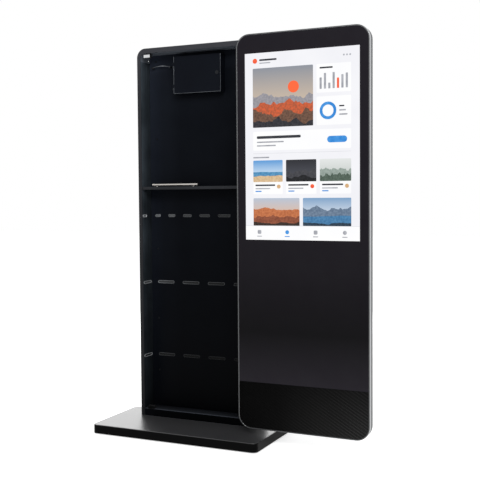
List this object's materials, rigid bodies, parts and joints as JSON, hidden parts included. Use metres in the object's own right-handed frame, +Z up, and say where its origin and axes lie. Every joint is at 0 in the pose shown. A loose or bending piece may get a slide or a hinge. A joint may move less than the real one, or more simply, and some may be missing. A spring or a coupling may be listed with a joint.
{
  "type": "display cabinet kiosk",
  "caption": "Floor-standing display kiosk: a tall touch screen forms the door of a shallow storage cabinet and swings aside on parallel arms, still facing forwards.",
  "frame": {"origin": "on the floor under the middle of the base plate, at the underside of the middle foot", "axes": "+Z up, +X to the viewer's right, the screen faces -Y"},
  "size_m": [1.3358, 0.404, 1.855],
  "materials": {
    "gloss_black_paint": "gloss",
    "black_powder_coat": "satin",
    "raw_steel": "matt",
    "zinc_steel": "bright zinc",
    "dark_steel": "satin",
    "anodised_aluminium": "satin anodised",
    "grey_aluminium": "matt",
    "black_rubber": "matt",
    "black_plastic": "matt",
    "grey_plastic": "matt",
    "red_plastic": "gloss",
    "black_glass": "gloss",
    "screen_glass": "gloss",
    "bronze": "satin"
  },
  "bodies": {
    "cabinet": {"base_cover": "gloss_black_paint", "base_slab": "raw_steel", "base_standoffs": "raw_steel", "feet": "black_rubber", "sole_plate": "black_powder_coat", "sole_bolts": "zinc_steel", "side_left": "black_powder_coat", "side_right": "black_powder_coat", "top_cap": "black_powder_coat", "rear_skin": "black_powder_coat", "fascia": "black_powder_coat", "floor_pan": "black_powder_coat", "back_panel": "black_powder_coat", "cabinet_screws": "dark_steel", "liner_left": "black_powder_coat", "liner_right": "black_powder_coat", "liner_top": "black_powder_coat", "slot_channels": "zinc_steel", "shelf": "black_powder_coat", "shelf_pegs": "zinc_steel", "shelf_rail": "anodised_aluminium", "arched_loop": "zinc_steel", "control_box": "black_powder_coat", "box_hinges": "zinc_steel", "power_supply": "grey_aluminium", "terminal_block": "grey_plastic", "grommet": "black_rubber", "trunking": "black_plastic", "mains_inlet": "black_plastic", "hinge_post": "raw_steel", "pivot_brackets": "dark_steel", "bracket_screws": "zinc_steel", "cabinet_pins": "zinc_steel", "cabinet_pulley": "anodised_aluminium", "thrust_washer": "bronze", "magnet_catches": "black_plastic", "catch_plates": "zinc_steel"},
    "swing": {"torque_tube": "dark_steel", "swing_arms": "dark_steel", "belt": "black_rubber"},
    "door": {"door_frame": "anodised_aluminium", "front_glass": "black_glass", "display_pane": "screen_glass", "display_module": "grey_plastic", "speaker_grille": "black_plastic", "speakers": "black_plastic", "rear_pan": "grey_aluminium", "door_gasket": "black_rubber", "player_box": "grey_aluminium", "power_box": "grey_aluminium", "door_brackets": "dark_steel", "door_pins": "zinc_steel", "door_pulley": "anodised_aluminium", "keepers": "zinc_steel", "grip_strip": "black_rubber", "door_screws": "dark_steel"},
    "power_button": {"power_button": "grey_plastic"},
    "box_cover": {"box_cover": "black_powder_coat"},
    "box_lock": {"box_lock": "zinc_steel"},
    "rocker": {"rocker": "red_plastic"}
  },
  "joints": [
    {"name": "swing_turn", "type": "hinge", "parent": "cabinet", "child": "swing", "pos_m": [0.271, 0.0435, 1], "axis": [0, 0, 1], "range_deg": [-165.8, 0]},
    {"name": "door_level", "type": "hinge", "parent": "swing", "child": "door", "pos_m": [0.56377, -0.03058, 1], "axis": [0, 0, 1], "range_deg": [0, 165.8]},
    {"name": "button_press", "type": "slide", "parent": "door", "child": "power_button", "axis": [0, 0, 1], "range_m": [0, 0.0015], "stiffness_N_per_m": 800},
    {"name": "cover_swing", "type": "hinge", "parent": "cabinet", "child": "box_cover", "pos_m": [-0.131, 0.097, 1.72], "axis": [0, 0, -1], "range_deg": [0, 100]},
    {"name": "lock_turn", "type": "hinge", "parent": "box_cover", "child": "box_lock", "pos_m": [0.108, 0.097, 1.721], "axis": [0, 1, 0], "range_deg": [0, 90]},
    {"name": "rocker_tilt", "type": "hinge", "parent": "cabinet", "child": "rocker", "pos_m": [0.0185, 0.2, 0.108], "axis": [1, 0, 0], "range_deg": [-12, 0]}
  ],
  "couplings": [
    {"joint": "door_level", "follows": "swing_turn", "ratio": -1}
  ]
}
